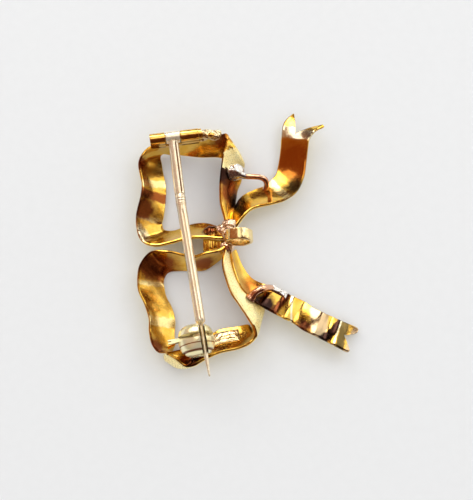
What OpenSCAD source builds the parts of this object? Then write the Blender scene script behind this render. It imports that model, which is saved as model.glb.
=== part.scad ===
// Gold ribbon-bow brooch, lying face down with its pin uppermost.
// Millimetres. X runs from the loops to the ribbon ends, Z is up out of the back,
// and the origin is the middle of the underside.

/* [Ribbon] */
// Width of the flat gold ribbon
ribbon_w = 3.9; // [3.6:0.1:4.4]
// Thickness of the gold ribbon
ribbon_t = 0.45; // [0.35:0.05:0.6]
// Height that the ribbon's folds take up
bow_depth = 3.5; // [3:0.1:4.2]
// Hollow across the ribbon, at its middle
ribbon_cup = 0.22; // [0.1:0.02:0.4]

/* [Loops] */
// Reach of both loops from the knot
loop_reach = 10; // [9:0.25:12]
// Height of the upper loop above the knot
upper_loop_h = 12; // [11:0.25:14]
// Height of the lower loop below the knot
lower_loop_h = 16; // [15:0.25:18]

/* [Ribbon ends] */
// Sideways reach of the upper ribbon end
upper_end_out = 10; // [9:0.25:12]
// Height of the upper ribbon end above the knot
upper_end_up = 16; // [14.5:0.25:17.5]
// Sideways reach of the lower ribbon end
lower_end_out = 15; // [13.5:0.25:17]
// Drop of the lower ribbon end below the knot
lower_end_down = 13; // [12:0.25:14.5]

/* [Knot and solder] */
// Length of the knot along the ribbon ends
knot_l = 3.4; // [3:0.1:4]
// Width of the knot across them
knot_w = 3.9; // [3.4:0.1:4.4]
// Height of the knot
knot_h = 3.4; // [3:0.1:3.8]
// Diameter of the solder lump on the upper loop
blob_d = 2.2; // [1.8:0.1:2.6]
// Diameter of the wire struts
strut_d = 0.5; // [0.4:0.05:0.7]

/* [Bail ring] */
// Bore of the bail ring
bail_bore = 2.6; // [2:0.1:3]
// Wall of the bail ring
bail_wall = 0.4; // [0.3:0.05:0.6]
// Length of the bail ring along its bore
bail_l = 1.45; // [1:0.05:2]

/* [Hinge] */
// Outside diameter of the hinge knuckles
knuckle_d = 1.5; // [1.4:0.05:1.8]
// Length of the left knuckle
left_knuckle_l = 1.9; // [1.5:0.1:2.4]
// Length of the right knuckle
right_knuckle_l = 2.25; // [1.8:0.1:2.8]
// Length of the stem's head between the knuckles
head_l = 1.75; // [1.5:0.05:2]
// Side gap between the head and each knuckle
hinge_gap = 0.1; // [0.05:0.01:0.2]
// Diameter of the rivet wire
rivet_d = 0.8; // [0.6:0.05:0.9]
// Radial clearance of the head on the rivet
rivet_clearance = 0.04; // [0.02:0.01:0.08]

/* [Pin stem] */
// Diameter of the stem
stem_d = 1.2; // [1.1:0.05:1.3]
// Diameter of the rolled sleeve
sleeve_d = 1.12; // [1:0.02:1.3]
// Length of the sleeve from the hinge axis
sleeve_l = 7.1; // [6:0.1:8]
// Length of the banded joint below the sleeve
joint_l = 1.75; // [1.2:0.05:2.2]
// Diameter of the thinner shank that lies in the catch
shank_d = 0.55; // [0.5:0.05:0.75]
// Length of the tapered point
taper_l = 2.8; // [2:0.1:3]
// Length of the stem past the middle of the catch
stem_past = 4.6; // [4.5:0.1:6]
// Bend of the stem at the joint, in degrees
stem_bend = 2; // [0:0.5:3]

/* [Catch] */
// Diameter of the ball housing
ball_d = 4.4; // [4:0.1:4.6]
// Length of the ball along the pin
ball_l = 3.6; // [3.3:0.1:3.8]
// Sideways offset of the pin from the middle of the ball
pin_offset = 0.85; // [0.4:0.05:0.9]
// Wall of the turning sleeve
rotor_wall = 0.25; // [0.2:0.05:0.3]
// Clearance of the sleeve in the housing, and of the pin in the sleeve
rotor_clearance = 0.06; // [0.04:0.01:0.1]
// Side clearance of the pin in the mouth
mouth_clearance = 0.08; // [0.06:0.01:0.12]
// Width of the lever's slot round the ball
lever_slot = 0.65; // [0.5:0.05:0.8]
// Reach of the lever nub beyond the ball
lever_reach = 1.2; // [0.8:0.05:1.4]

/* [Hidden] */
$fn = 48;

gold = "#c99a2c";
pale_gold = "#d9c98f";
rose_gold = "#e0b89a";

// Columns of a ribbon's table. x, y and z place its middle, as shares of the size that is named beside
// the table. bearing is the way from the front edge to the back edge seen from above, tilt is how far
// that line stands up from flat, and width is a share of ribbon_w.
X = 0;
Y = 1;
Z = 2;
BEARING = 3;
TILT = 4;
WIDTH = 5;

upper_loop_size = [loop_reach, upper_loop_h, bow_depth];
upper_loop = [
    // x, y, z, bearing, tilt, width
    [0.00, 0.06, 0.60, 220, 65, 0.55],
    [-0.02, 0.20, 0.60, 214, 60, 0.62],
    [-0.03, 0.34, 0.57, 195, 55, 0.80],
    [-0.02, 0.51, 0.57, 178, 52, 0.87],
    [0.015, 0.67, 0.60, 149, 42, 0.97],
    [0.045, 0.81, 0.66, 133, 33, 1.02],
    [0.06, 0.91, 0.71, 125, 25, 1.07],
    [-0.04, 0.965, 0.57, 98, 45, 0.98],
    [-0.15, 0.98, 0.52, 88, 56, 0.88],
    [-0.375, 0.972, 0.52, 90, 58, 0.84],
    [-0.64, 0.97, 0.52, 100, 72, 0.82],
    [-0.80, 0.955, 0.52, 150, 76, 0.82],
    [-0.925, 0.935, 0.50, 190, 60, 0.85],
    [-0.99, 0.88, 0.49, 194, 50, 0.87],
    [-1.00, 0.80, 0.47, 184, 42, 0.94],
    [-0.99, 0.70, 0.46, 178, 38, 0.96],
    [-0.95, 0.54, 0.47, 178, 40, 0.96],
    [-0.96, 0.42, 0.46, 180, 38, 0.98],
    [-1.00, 0.19, 0.46, 182, 36, 1.00],
    [-0.98, 0.05, 0.46, 222, 34, 1.12],
    [-0.88, -0.02, 0.47, 246, 42, 1.05],
    [-0.70, -0.003, 0.44, 264, 50, 0.91],
    [-0.50, 0.050, 0.46, 262, 45, 0.89],
    [-0.31, 0.055, 0.54, 268, 45, 0.92],
    [-0.12, 0.02, 0.60, 270, 50, 0.85],
    [-0.03, 0.02, 0.60, 268, 55, 0.70],
    [0.00, 0.06, 0.60, 220, 65, 0.55]
];

lower_loop_size = [loop_reach, lower_loop_h, bow_depth];
lower_loop = [
    // x, y, z, bearing, tilt, width
    [-0.04, -0.11, 0.58, 90, 82, 0.55],
    [-0.125, -0.154, 0.57, 90, 80, 0.66],
    [-0.29, -0.20, 0.52, 90, 69, 0.90],
    [-0.44, -0.216, 0.43, 92, 70, 0.79],
    [-0.60, -0.206, 0.43, 90, 65, 0.82],
    [-0.76, -0.203, 0.49, 95, 60, 0.95],
    [-0.89, -0.23, 0.47, 121, 40, 1.05],
    [-0.96, -0.30, 0.46, 144, 35, 1.08],
    [-0.97, -0.37, 0.46, 165, 35, 1.03],
    [-0.95, -0.46, 0.45, 175, 32, 1.02],
    [-0.88, -0.556, 0.43, 178, 31, 1.00],
    [-0.83, -0.66, 0.46, 183, 37, 1.00],
    [-0.825, -0.76, 0.48, 192, 38, 1.00],
    [-0.81, -0.835, 0.54, 202, 40, 0.97],
    [-0.77, -0.888, 0.57, 212, 44, 0.87],
    [-0.745, -0.918, 0.55, 232, 66, 0.76],
    [-0.755, -0.952, 0.51, 345, 78, 0.74],
    [-0.695, -0.98, 0.50, 356, 72, 0.72],
    [-0.61, -1.015, 0.48, 350, 75, 0.66],
    [-0.525, -1.015, 0.48, 275, 70, 0.64],
    [-0.42, -0.965, 0.45, 264, 44, 0.75],
    [-0.305, -0.90, 0.45, 268, 36, 0.91],
    [-0.13, -0.835, 0.46, 272, 32, 1.00],
    [0.09, -0.807, 0.48, 274, 32, 0.96],
    [0.23, -0.781, 0.51, 273, 36, 0.90],
    [0.305, -0.772, 0.55, 270, 56, 0.66],
    [0.33, -0.70, 0.57, 239, 52, 0.76],
    [0.31, -0.613, 0.60, 217, 43, 0.95],
    [0.225, -0.525, 0.62, 210, 40, 0.94],
    [0.125, -0.444, 0.62, 208, 42, 0.87],
    [0.045, -0.338, 0.62, 211, 45, 0.78],
    [-0.015, -0.23, 0.62, 214, 48, 0.68],
    [-0.03, -0.15, 0.58, 212, 60, 0.55],
    [-0.04, -0.11, 0.58, 90, 82, 0.55]
];

upper_end_size = [upper_end_out, upper_end_up, bow_depth];
upper_end = [
    // x, y, z, bearing, tilt, width
    [0.04, 0.075, 0.60, 300, 60, 0.50],
    [0.11, 0.185, 0.57, 294, 42, 0.75],
    [0.20, 0.262, 0.52, 292, 38, 0.85],
    [0.34, 0.31, 0.47, 277, 36, 0.93],
    [0.475, 0.33, 0.53, 286, 34, 0.96],
    [0.61, 0.375, 0.52, 300, 26, 1.03],
    [0.71, 0.44, 0.42, 314, 23, 1.05],
    [0.765, 0.53, 0.36, 333, 23, 1.02],
    [0.79, 0.625, 0.40, 346, 24, 0.97],
    [0.81, 0.725, 0.52, 348, 24, 0.97],
    [0.825, 0.80, 0.60, 346, 22, 1.00],
    [0.88, 0.89, 0.54, 341, 16, 1.15],
    [0.97, 0.955, 0.44, 333, 10, 1.20],
];

lower_end_size = [lower_end_out, lower_end_down, bow_depth];
lower_end = [
    // x, y, z, bearing, tilt, width
    [0.02, -0.15, 0.48, 230, 55, 0.50],
    [0.065, -0.32, 0.50, 226, 50, 0.60],
    [0.13, -0.46, 0.48, 231, 40, 0.72],
    [0.22, -0.54, 0.43, 238, 33, 0.86],
    [0.317, -0.60, 0.52, 243, 30, 1.00],
    [0.407, -0.646, 0.37, 247, 28, 1.00],
    [0.483, -0.708, 0.55, 248, 28, 1.00],
    [0.56, -0.738, 0.38, 245, 28, 1.00],
    [0.633, -0.808, 0.50, 243, 28, 1.00],
    [0.717, -0.862, 0.56, 246, 27, 1.00],
    [0.793, -0.892, 0.37, 250, 26, 1.00],
    [0.86, -0.938, 0.46, 252, 24, 1.00],
    [0.927, -0.97, 0.38, 252, 22, 1.00],
    [1.007, -1.015, 0.33, 247, 18, 1.02],
];

// Rings between two rows of a ribbon's table
ring_steps = 3;
// Places across a ribbon at which its skins have points
across_shares = [-1, -0.5, 0, 0.5, 1];

// Columns of a notch: rows back from the ribbon's end to its point, the share across at its point, and
// the shares across at its mouth
upper_notch = [1.8, 0.1, -0.84, 0.64];
lower_notch = [1.0, -0.15, -0.76, 0.82];

// Columns of a solder patch: its first and last row on the ribbon, and its front and back edge across
catch_plate = [21.4, 23.2, -0.75, 0.3];
end_patch = [3.6, 5.4, -1.0, -0.5];
// Thickness of a solder patch
patch_t = 0.3;

// The knot's wrap: shares of its length, and its girth there
knot_middle = [-0.47, -0.16, 0.4];
knot_girths = [[-1, 0.72], [-0.8, 0.9], [-0.4, 1], [0, 0.94], [0.4, 1], [0.8, 0.9], [1, 0.72]];
// Squareness of the knot's section: 1 is an ellipse and smaller is squarer
knot_square = 0.65;
knot_sides = 16;
// Solder lumps on the knot: x, y and z as shares of the knot, then their width as a share of blob_d
knot_lumps = [
    [-0.02, 0.27, 0.86, 0.80],
    [-0.06, -0.04, 0.92, 0.85],
    [-0.10, -0.42, 0.74, 0.80],
    [-0.30, 0.12, 0.80, 0.70],
];

// The hinge sits on the back edge of the upper loop, at this row
hinge_row = 10.3;
// Height of the hinge's base plate under the knuckles
hinge_base_t = 0.35;
// Depth that the base plate is let into the ribbon's edge
hinge_sink = 0.3;
// Width of the base plate, as a share of the knuckles
hinge_base_share = 0.95;
// Collar of the rivet: length, and width as a share of the knuckles
collar_l = 0.35;
collar_share = 0.92;
// Clearance between the rivet and what it is set in
rivet_seat = 0.02;

// The pin crosses the lower loop at this row, and this share across it
catch_row = 20.85;
catch_share = -0.65;
// Width and length of the post under the ball, as shares of the ball
post_w_share = 0.42;
post_l_share = 0.6;
// How much the ball's sides bulge: the radius of their curve, as a share of the ball's diameter
ball_bulge = 0.7;
// How far the lever's slot reaches below the pin, and how far it lies towards the hinge
slot_drop = 0.35;
slot_set = 0.3;
// The sleeve is this much shorter than the ball
rotor_short = 0.2;
// Thickness of the lever, radius of its collar, and the cleft in its nub
lever_t = 0.45;
lever_collar_r = 1.4;
cleft = [0.4, 0.15];
// The stem narrows over this length, and ends its narrowing this far from the ball
shoulder_l = 0.4;
shoulder_gap = 0.08;
// Width of the stem's point
point_d = 0.2;

// The fold that closes the lower loop's corner: its rows, where it leaves the ribbon as a share across it,
// and how much of the way it goes towards the foot of the catch
fold_rows = [15.4, 16.4, 17.4, 18.4, 19.4];
fold_share = 0.2;
fold_reach = 0.7;

// The upper strut runs from the blob on the upper loop to the upper ribbon end
blob_row = 4.3;
blob_share = -0.15;
upper_strut_row = 3.95;
upper_strut_share = -0.3;
// Shares of the way from one end of a strut to the other, along X, Y and Z
upper_strut_way = [[0, 0, 0], [0.32, 0.31, -0.1], [0.8, 0.38, -0.1], [1.0, 0.55, 0.1], [1.04, 0.8, 0.5], [1, 1, 1]];
// The lower strut runs from the lower loop to the solder patch on the lower ribbon end
lower_strut_row = 28;
lower_strut_share = 0;
lower_patch_row = 3.8;
lower_patch_share = -0.7;
lower_strut_way = [[0, 0, 0], [0.27, 0.44, -0.3], [0.55, 0.68, -0.3], [0.78, 0.85, 0.2], [1, 1, 1]];
strut_sides = 8;

// The bail ring stands beside the knot. Its place is in shares of the knot's length, width and height.
bail_middle = [0.33, -0.24, 1.36];

function blend(a, b, c, d, s) =
    0.5 * (2 * b + (c - a) * s + (2 * a - 5 * b + 4 * c - d) * s * s + (3 * b - a - 3 * c + d) * s * s * s);

// A smooth value at a whole or part row of a list
function smooth(list, row) =
    let (
        last = len(list) - 1,
        i = min(max(floor(row), 0), last - 1),
        before = i > 0 ? list[i - 1] : 2 * list[0] - list[1],
        after = i + 2 <= last ? list[i + 2] : 2 * list[last] - list[last - 1]
    )
    blend(before, list[i], list[i + 1], after, row - i);

function unit(v) = v / norm(v);

function scaled(v, size) = [v[X] * size[X], v[Y] * size[Y], v[Z] * size[Z]];

// The line from a ribbon's middle to its back edge, at each row
function half_widths(table) = [
    for (r = table)
        r[WIDTH] * ribbon_w / 2 * [
            cos(r[TILT]) * cos(r[BEARING]),
            cos(r[TILT]) * sin(r[BEARING]),
            sin(r[TILT])
        ]
];

function middle(table, size, row) = smooth([for (r = table) scaled(r, size)], row);

// The ribbon's normal at a row, on the side that the loops hold inside
function facing(table, size, row) =
    let (
        step = 0.05,
        along = middle(table, size, row + step) - middle(table, size, row - step)
    )
    unit(cross(smooth(half_widths(table), row), along));

// A point of the ribbon: share runs from -1 at the front edge to 1 at the back edge, rise is off its middle skin
function ribbon_point(table, size, row, share, rise = 0) =
    middle(table, size, row)
    + share * smooth(half_widths(table), row)
    + (rise - ribbon_cup * (1 - share * share)) * facing(table, size, row);

function ribbon_ring(table, size, row, shares = across_shares, low = -ribbon_t / 2, high = ribbon_t / 2) =
    concat(
        [for (s = shares) ribbon_point(table, size, row, s, low)],
        [for (i = [len(shares) - 1 : -1 : 0]) ribbon_point(table, size, row, shares[i], high)]
    );

function ribbon_rings(table, size) =
    [for (k = [0 : (len(table) - 1) * ring_steps]) ribbon_ring(table, size, k / ring_steps)];

upper_loop_rings = ribbon_rings(upper_loop, upper_loop_size);
lower_loop_rings = ribbon_rings(lower_loop, lower_loop_size);
upper_end_rings = ribbon_rings(upper_end, upper_end_size);
lower_end_rings = ribbon_rings(lower_end, lower_end_size);

// Where the hinge, the catch and the pin lie
function hinge_seat() = ribbon_point(upper_loop, upper_loop_size, hinge_row, 1);
hinge_at = hinge_seat() + [0, 0, hinge_base_t + knuckle_d / 2];
catch_seat = ribbon_point(lower_loop, lower_loop_size, catch_row, catch_share);
catch_at = [catch_seat[X], catch_seat[Y], hinge_at[Z]];
// The stem is two straight lengths with a bend between them
upper_stem_l = sleeve_l + joint_l;
chord = catch_at - hinge_at;
lower_stem_l = sqrt(norm(chord) ^ 2 - (upper_stem_l * sin(stem_bend)) ^ 2) - upper_stem_l * cos(stem_bend);
stem_turn = atan2(chord[X], -chord[Y]) - asin(lower_stem_l * sin(stem_bend) / norm(chord));
catch_turn = stem_turn + stem_bend;
tip = catch_at + stem_past * [sin(catch_turn), -cos(catch_turn), 0];

// Widths that follow from the shank of the pin
rotor_bore = shank_d + 2 * mouth_clearance;
rotor_d = rotor_bore + 2 * rotor_wall;
ball_bore = rotor_d + 2 * rotor_clearance;

bail_d = bail_bore + 2 * bail_wall;
knot_size = [knot_l, knot_w, knot_h];
bail_at = scaled(bail_middle, knot_size);

// The origin is the middle of the underside of everything
ribbon_points = [
    for (rings = [upper_loop_rings, lower_loop_rings, upper_end_rings, lower_end_rings], ring = rings, p = ring) p
];
box_left = min([for (p = ribbon_points) p[X]]);
box_right = max([for (p = ribbon_points) p[X]]);
box_low_y = min(min([for (p = ribbon_points) p[Y]]), tip[Y] - point_d / 2 * sin(catch_turn));
box_high_y = max([for (p = ribbon_points) p[Y]]);
floor_z = min([for (p = ribbon_points) p[Z]]);
origin = [(box_left + box_right) / 2, (box_low_y + box_high_y) / 2, floor_z];

module place() {
    translate(-origin) children();
}

module in_hinge() {
    translate(hinge_at) rotate([0, 0, stem_turn]) children();
}

module in_catch() {
    translate(catch_at) rotate([0, 0, catch_turn]) children();
}

// A cylinder along X, from one length to another
module rod_x(d, from, to) {
    translate([from, 0, 0]) rotate([0, 90, 0]) cylinder(d = d, h = to - from);
}

// A cylinder along Y, centred
module rod_y(d, l) {
    rotate([90, 0, 0]) cylinder(d = d, h = l, center = true);
}

// Triangles between ring k and ring m, which have n points each
function side_faces(k, m, n) = [
    for (i = [0 : n - 1])
        let (j = (i + 1) % n)
        each [[k * n + i, k * n + j, m * n + j], [k * n + i, m * n + j, m * n + i]]
];

// A closed skin over rings that all have the same even number of points
module skin(rings) {
    n = len(rings[0]);
    last = len(rings) - 1;
    sides = [for (k = [0 : last - 1]) each side_faces(k, k + 1, n)];
    first_cap = [for (i = [1 : n / 2 - 1]) each [[i - 1, n - i, i], [i, n - i, n - 1 - i]]];
    last_cap = [for (f = first_cap) [f[0], f[2], f[1]] + last * n * [1, 1, 1]];
    polyhedron(points = [for (ring = rings, p = ring) p], faces = concat(sides, first_cap, last_cap));
}

// A skin over rings whose last one comes round to the first
module endless_skin(rings) {
    n = len(rings[0]);
    last = len(rings) - 2;
    sides = [for (k = [0 : last]) each side_faces(k, k < last ? k + 1 : 0, n)];
    polyhedron(points = [for (k = [0 : last], p = rings[k]) p], faces = sides);
}

// A rounded, slightly uneven lump of solder
module lump(at, size, seed = 0, sides = 8, layers = 4) {
    uneven = 0.07;
    skin([
        for (k = [0 : layers])
            let (lat = 75 - 150 * k / layers)
            [
                for (i = [0 : sides - 1])
                    let (lon = 360 * i / sides, r = 0.5 * (1 + uneven * sin(3 * lon + seed) * cos(2 * lat + seed)))
                    at + r * scaled([cos(lat) * cos(lon), cos(lat) * sin(lon), sin(lat)], size)
            ]
    ]);
}

// A round wire along a list of points
module wire(path, d, sides = strut_sides) {
    last = len(path) - 1;
    skin([
        for (k = [0 : last])
            let (
                along = unit(path[min(k + 1, last)] - path[max(k - 1, 0)]),
                side = unit(cross(along, [0, 0, 1])),
                top = cross(side, along)
            )
            [for (i = [0 : sides - 1]) let (a = 360 * i / sides) path[k] + d / 2 * (cos(a) * side + sin(a) * top)]
    ]);
}

function way(from, to, shares) = [for (s = shares) from + scaled(s, to - from)];

// The V that is cut out of a ribbon's end
module swallowtail(table, size, notch) {
    last = len(table) - 1;
    point = ribbon_point(table, size, last - notch[0], notch[1]);
    mouth_a = ribbon_point(table, size, last, notch[2]);
    mouth_b = ribbon_point(table, size, last, notch[3]);
    past = 1.6;
    corners = [point, point + past * (mouth_a - point), point + past * (mouth_b - point)];
    translate([0, 0, -bow_depth]) linear_extrude(3 * bow_depth) polygon([for (c = corners) [c[X], c[Y]]]);
}

module upper_ribbon_end() {
    difference() {
        skin(upper_end_rings);
        swallowtail(upper_end, upper_end_size, upper_notch);
    }
}

module lower_ribbon_end() {
    difference() {
        skin(lower_end_rings);
        swallowtail(lower_end, lower_end_size, lower_notch);
    }
}

module solder_patch(table, size, patch) {
    steps = 4;
    skin([
        for (k = [0 : steps])
            ribbon_ring(
                table, size, patch[0] + (patch[1] - patch[0]) * k / steps,
                shares = [patch[2], (patch[2] + patch[3]) / 2, patch[3]],
                low = 0, high = ribbon_t / 2 + patch_t
            )
    ]);
}

function knot_side(v) = sign(v) * abs(v) ^ knot_square;

module knot() {
    skin([
        for (g = knot_girths)
            [
                for (i = [0 : knot_sides - 1])
                    let (a = -360 * (i + 0.5) / knot_sides)
                    scaled(
                        knot_middle + [g[0] / 2, g[1] * knot_side(cos(a)) / 2, g[1] * knot_side(sin(a)) * 0.38],
                        knot_size
                    )
            ]
    ]);
    for (l = knot_lumps) lump(scaled(l, knot_size), l[3] * blob_d * [1, 1, 0.8], 90 * l[0]);
}

module upper_strut() {
    from = ribbon_point(upper_loop, upper_loop_size, blob_row, blob_share, -ribbon_t);
    to = ribbon_point(upper_end, upper_end_size, upper_strut_row, upper_strut_share, ribbon_t / 2);
    lump(from, blob_d * [1.05, 0.95, 0.9], 40);
    wire(way(from, to, upper_strut_way), strut_d);
}

module lower_strut() {
    from = ribbon_point(lower_loop, lower_loop_size, lower_strut_row, lower_strut_share, -ribbon_t / 2);
    to = ribbon_point(lower_end, lower_end_size, lower_patch_row, lower_patch_share, ribbon_t / 2);
    wire(way(from, to, lower_strut_way), strut_d);
    solder_patch(lower_end, lower_end_size, end_patch);
}

module bail_ring() {
    translate(bail_at) rod_y(bail_d, bail_l);
}

left_end = -head_l / 2 - hinge_gap - left_knuckle_l;
right_end = head_l / 2 + hinge_gap + right_knuckle_l;

module hinge_base() {
    base_w = knuckle_d * hinge_base_share;
    plate_low = -knuckle_d / 2 - hinge_base_t - hinge_sink;
    plate_high = -knuckle_d / 2 - hinge_gap;
    in_hinge() {
        translate([left_end, -base_w / 2, plate_low]) cube([right_end - left_end, base_w, plate_high - plate_low]);
        for (span = [[left_end, -head_l / 2 - hinge_gap], [head_l / 2 + hinge_gap, right_end]]) {
            rod_x(knuckle_d, span[0], span[1]);
            translate([span[0], -base_w / 2, plate_low]) cube([span[1] - span[0], base_w, -plate_low - knuckle_d / 4]);
        }
    }
}

// Solder at the right end of the hinge
module hinge_solder() {
    in_hinge() lump([right_end + 2 * collar_l + blob_d / 3, 0.1, -knuckle_d / 2], blob_d * [0.85, 0.6, 0.6], 20);
}

module catch_base() {
    seat_z = catch_seat[Z] - hinge_at[Z];
    in_catch() {
        translate([-pin_offset, 0, 0]) rotate([90, 0, 0]) rotate_extrude() intersection() {
            translate([ball_d * (0.5 - ball_bulge), 0]) circle(r = ball_d * ball_bulge);
            translate([0, -ball_l / 2]) square([ball_d, ball_l]);
        }
        translate([-pin_offset - ball_d * post_w_share / 2, -ball_l * post_l_share / 2, seat_z])
            cube([ball_d * post_w_share, ball_l * post_l_share, -seat_z - ball_bore / 2 - rotor_wall / 2]);
    }
}

module catch_openings() {
    in_catch() {
        rod_y(ball_bore, 2 * ball_l);
        translate([-rotor_bore / 2, -ball_l, 0]) cube([rotor_bore, 2 * ball_l, ball_d]);
        translate([-2 * ball_d, slot_set - lever_slot / 2, -slot_drop]) cube([4 * ball_d, lever_slot, ball_d]);
    }
}

module corner_fold() {
    foot = catch_seat - [ball_d / 4, 0, ribbon_t];
    skin([
        for (row = fold_rows)
            let (
                outer = ribbon_point(lower_loop, lower_loop_size, row, fold_share),
                inner = outer + fold_reach * (foot - outer),
                up = [0, 0, ribbon_t]
            )
            [outer, outer + up, inner + up, inner]
    ]);
}

// The ribbons with their knot, struts and solder, joined into one faceted piece
module soldered_ribbons() {
    resize([0, 0, 0]) {
        endless_skin(upper_loop_rings);
        endless_skin(lower_loop_rings);
        upper_ribbon_end();
        lower_ribbon_end();
        knot();
        upper_strut();
        lower_strut();
        hinge_solder();
        corner_fold();
        solder_patch(lower_loop, lower_loop_size, catch_plate);
    }
}

module bow() {
    color(gold) place() difference() {
        union() {
            soldered_ribbons();
            bail_ring();
            hinge_base();
            catch_base();
        }
        translate(bail_at) rod_y(bail_bore, 2 * bail_l);
        in_hinge() rod_x(rivet_d + 2 * rivet_seat, left_end - collar_l, right_end + 2 * collar_l);
        catch_openings();
    }
}

module pin_stem() {
    band_d = stem_d * 1.06;
    color(rose_gold) place() in_hinge() difference() {
        union() {
            rod_x(knuckle_d, -head_l / 2, head_l / 2);
            rotate([90, 0, 0]) cylinder(d = sleeve_d, h = sleeve_l);
            translate([0, -sleeve_l, 0]) rotate([90, 0, 0]) cylinder(d = stem_d, h = joint_l);
            for (k = [0 : 2])
                translate([0, -sleeve_l - joint_l * (0.3 + 0.25 * k), 0]) rotate([90, 0, 0]) cylinder(d = band_d, h = joint_l * 0.12);
            translate([0, -upper_stem_l, 0]) rotate([0, 0, stem_bend]) {
                shoulder_at = lower_stem_l - ball_l / 2 - shoulder_gap - shoulder_l;
                taper_at = lower_stem_l + stem_past - taper_l;
                sphere(d = band_d);
                rotate([90, 0, 0]) cylinder(d = stem_d, h = shoulder_at);
                translate([0, -shoulder_at, 0]) rotate([90, 0, 0]) cylinder(d1 = stem_d, d2 = shank_d, h = shoulder_l);
                rotate([90, 0, 0]) cylinder(d = shank_d, h = taper_at);
                translate([0, -taper_at, 0]) rotate([90, 0, 0]) cylinder(d1 = shank_d, d2 = point_d, h = taper_l);
            }
        }
        rod_x(rivet_d + 2 * rivet_clearance, -head_l, head_l);
    }
}

module hinge_rivet() {
    color(pale_gold) place() in_hinge() {
        rod_x(rivet_d, left_end, right_end + rivet_seat + collar_l);
        rod_x(knuckle_d * collar_share, right_end + rivet_seat, right_end + rivet_seat + collar_l);
    }
}

module catch_rotor() {
    lever_w = lever_slot - 2 * rotor_clearance;
    lever_l = pin_offset + ball_d / 2 + lever_reach;
    color(pale_gold) place() in_catch() difference() {
        union() {
            rod_y(rotor_d, ball_l - rotor_short);
            translate([0, slot_set, 0]) {
                translate([-lever_l, -lever_w / 2, -lever_t / 2]) cube([lever_l, lever_w, lever_t]);
                intersection() {
                    rod_y(2 * lever_collar_r, lever_w);
                    translate([-ball_d, -ball_d / 2, -lever_t / 2]) cube(ball_d);
                }
            }
        }
        rod_y(rotor_bore, 2 * ball_l);
        translate([-rotor_bore / 2, -ball_l, 0]) cube([rotor_bore, 2 * ball_l, ball_d]);
        translate([-lever_l, slot_set, 0]) cube([2 * cleft[0], cleft[1], 2 * lever_t], center = true);
    }
}

bow();
pin_stem();
hinge_rivet();
catch_rotor();
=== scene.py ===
# A gold ribbon-bow brooch lying face down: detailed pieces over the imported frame.
# Lengths are millimetres in the frame of the part's own source, until settled() makes metres of them.
import math

import bmesh
import bpy
import numpy as np
from mathutils import Matrix, Vector, noise


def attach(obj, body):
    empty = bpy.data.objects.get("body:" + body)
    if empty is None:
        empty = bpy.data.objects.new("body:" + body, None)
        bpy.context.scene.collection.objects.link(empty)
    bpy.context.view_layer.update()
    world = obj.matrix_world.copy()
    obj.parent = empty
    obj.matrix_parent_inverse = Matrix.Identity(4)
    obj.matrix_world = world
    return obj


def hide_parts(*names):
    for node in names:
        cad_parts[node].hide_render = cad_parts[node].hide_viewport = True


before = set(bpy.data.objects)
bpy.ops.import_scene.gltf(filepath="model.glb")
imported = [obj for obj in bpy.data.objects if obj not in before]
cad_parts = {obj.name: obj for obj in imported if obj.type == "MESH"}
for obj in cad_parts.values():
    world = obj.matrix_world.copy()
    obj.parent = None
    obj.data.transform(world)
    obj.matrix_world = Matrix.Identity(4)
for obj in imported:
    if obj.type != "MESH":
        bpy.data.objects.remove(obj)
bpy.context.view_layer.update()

MM = 0.001
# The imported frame's origin, in the source's frame
ORIGIN = np.array([2.09547, -0.939474, -0.0399838])

# Sizes of the ribbons. The cup is how far the middle sinks, and tip_round the share that an end loses
ribbon_w = 3.9
ribbon_t = 0.45
ribbon_cup = 0.22
tip_round = 0.12
bow_depth = 3.5
loop_reach = 10
upper_loop_h = 12
lower_loop_h = 16
upper_end_out = 10
upper_end_up = 16
lower_end_out = 15
lower_end_down = 13

# Sizes of the knot, the solder and the bail ring
knot_size = np.array([3.4, 3.9, 3.4])
blob_d = 2.2
strut_d = 0.5
patch_t = 0.3
bail_bore = 2.6
bail_wall = 0.4
bail_l = 1.45

# Sizes of the hinge
knuckle_d = 1.5
left_knuckle_l = 1.9
right_knuckle_l = 2.25
head_l = 1.75
hinge_gap = 0.1
hinge_base_t = 0.35
hinge_base_share = 0.95
hinge_sink = 0.3
rivet_d = 0.8
rivet_clearance = 0.04
rivet_seat = 0.02

# Sizes of the pin. The sleeve is a little thicker and longer than the source's, as it looks
stem_d = 1.2
sleeve_d = 1.26
sleeve_l = 7.5
joint_l = 1.35
shoulder_l = 0.4
shoulder_gap = 0.08
shank_d = 0.55
stem_past = 4.6
taper_l = 2.8
point_d = 0.2

# Sizes of the catch
ball_d = 4.4
ball_l = 3.6
ball_bulge = 0.7
ball_bore = 1.33
rotor_bore = 0.71
pin_offset = 0.85
lever_slot = 0.65
slot_drop = 0.35
slot_set = 0.3

# Places that the source works out: middle of the hinge, middle of the catch's bore, and top of the ribbon
# under the catch. The turns are degrees about Z, and LOWER_STEM_L goes from the stem's bend to the catch.
HINGE = np.array([-7.10945, 11.9929, 4.46421])
CATCH = np.array([-3.15634, -13.7255, 4.46421])
CATCH_SEAT_Z = 0.807538
STEM_TURN = 7.41849
CATCH_TURN = 9.41849
LOWER_STEM_L = 17.174
BAIL = np.array([0.33, -0.24, 1.36]) * knot_size

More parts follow.
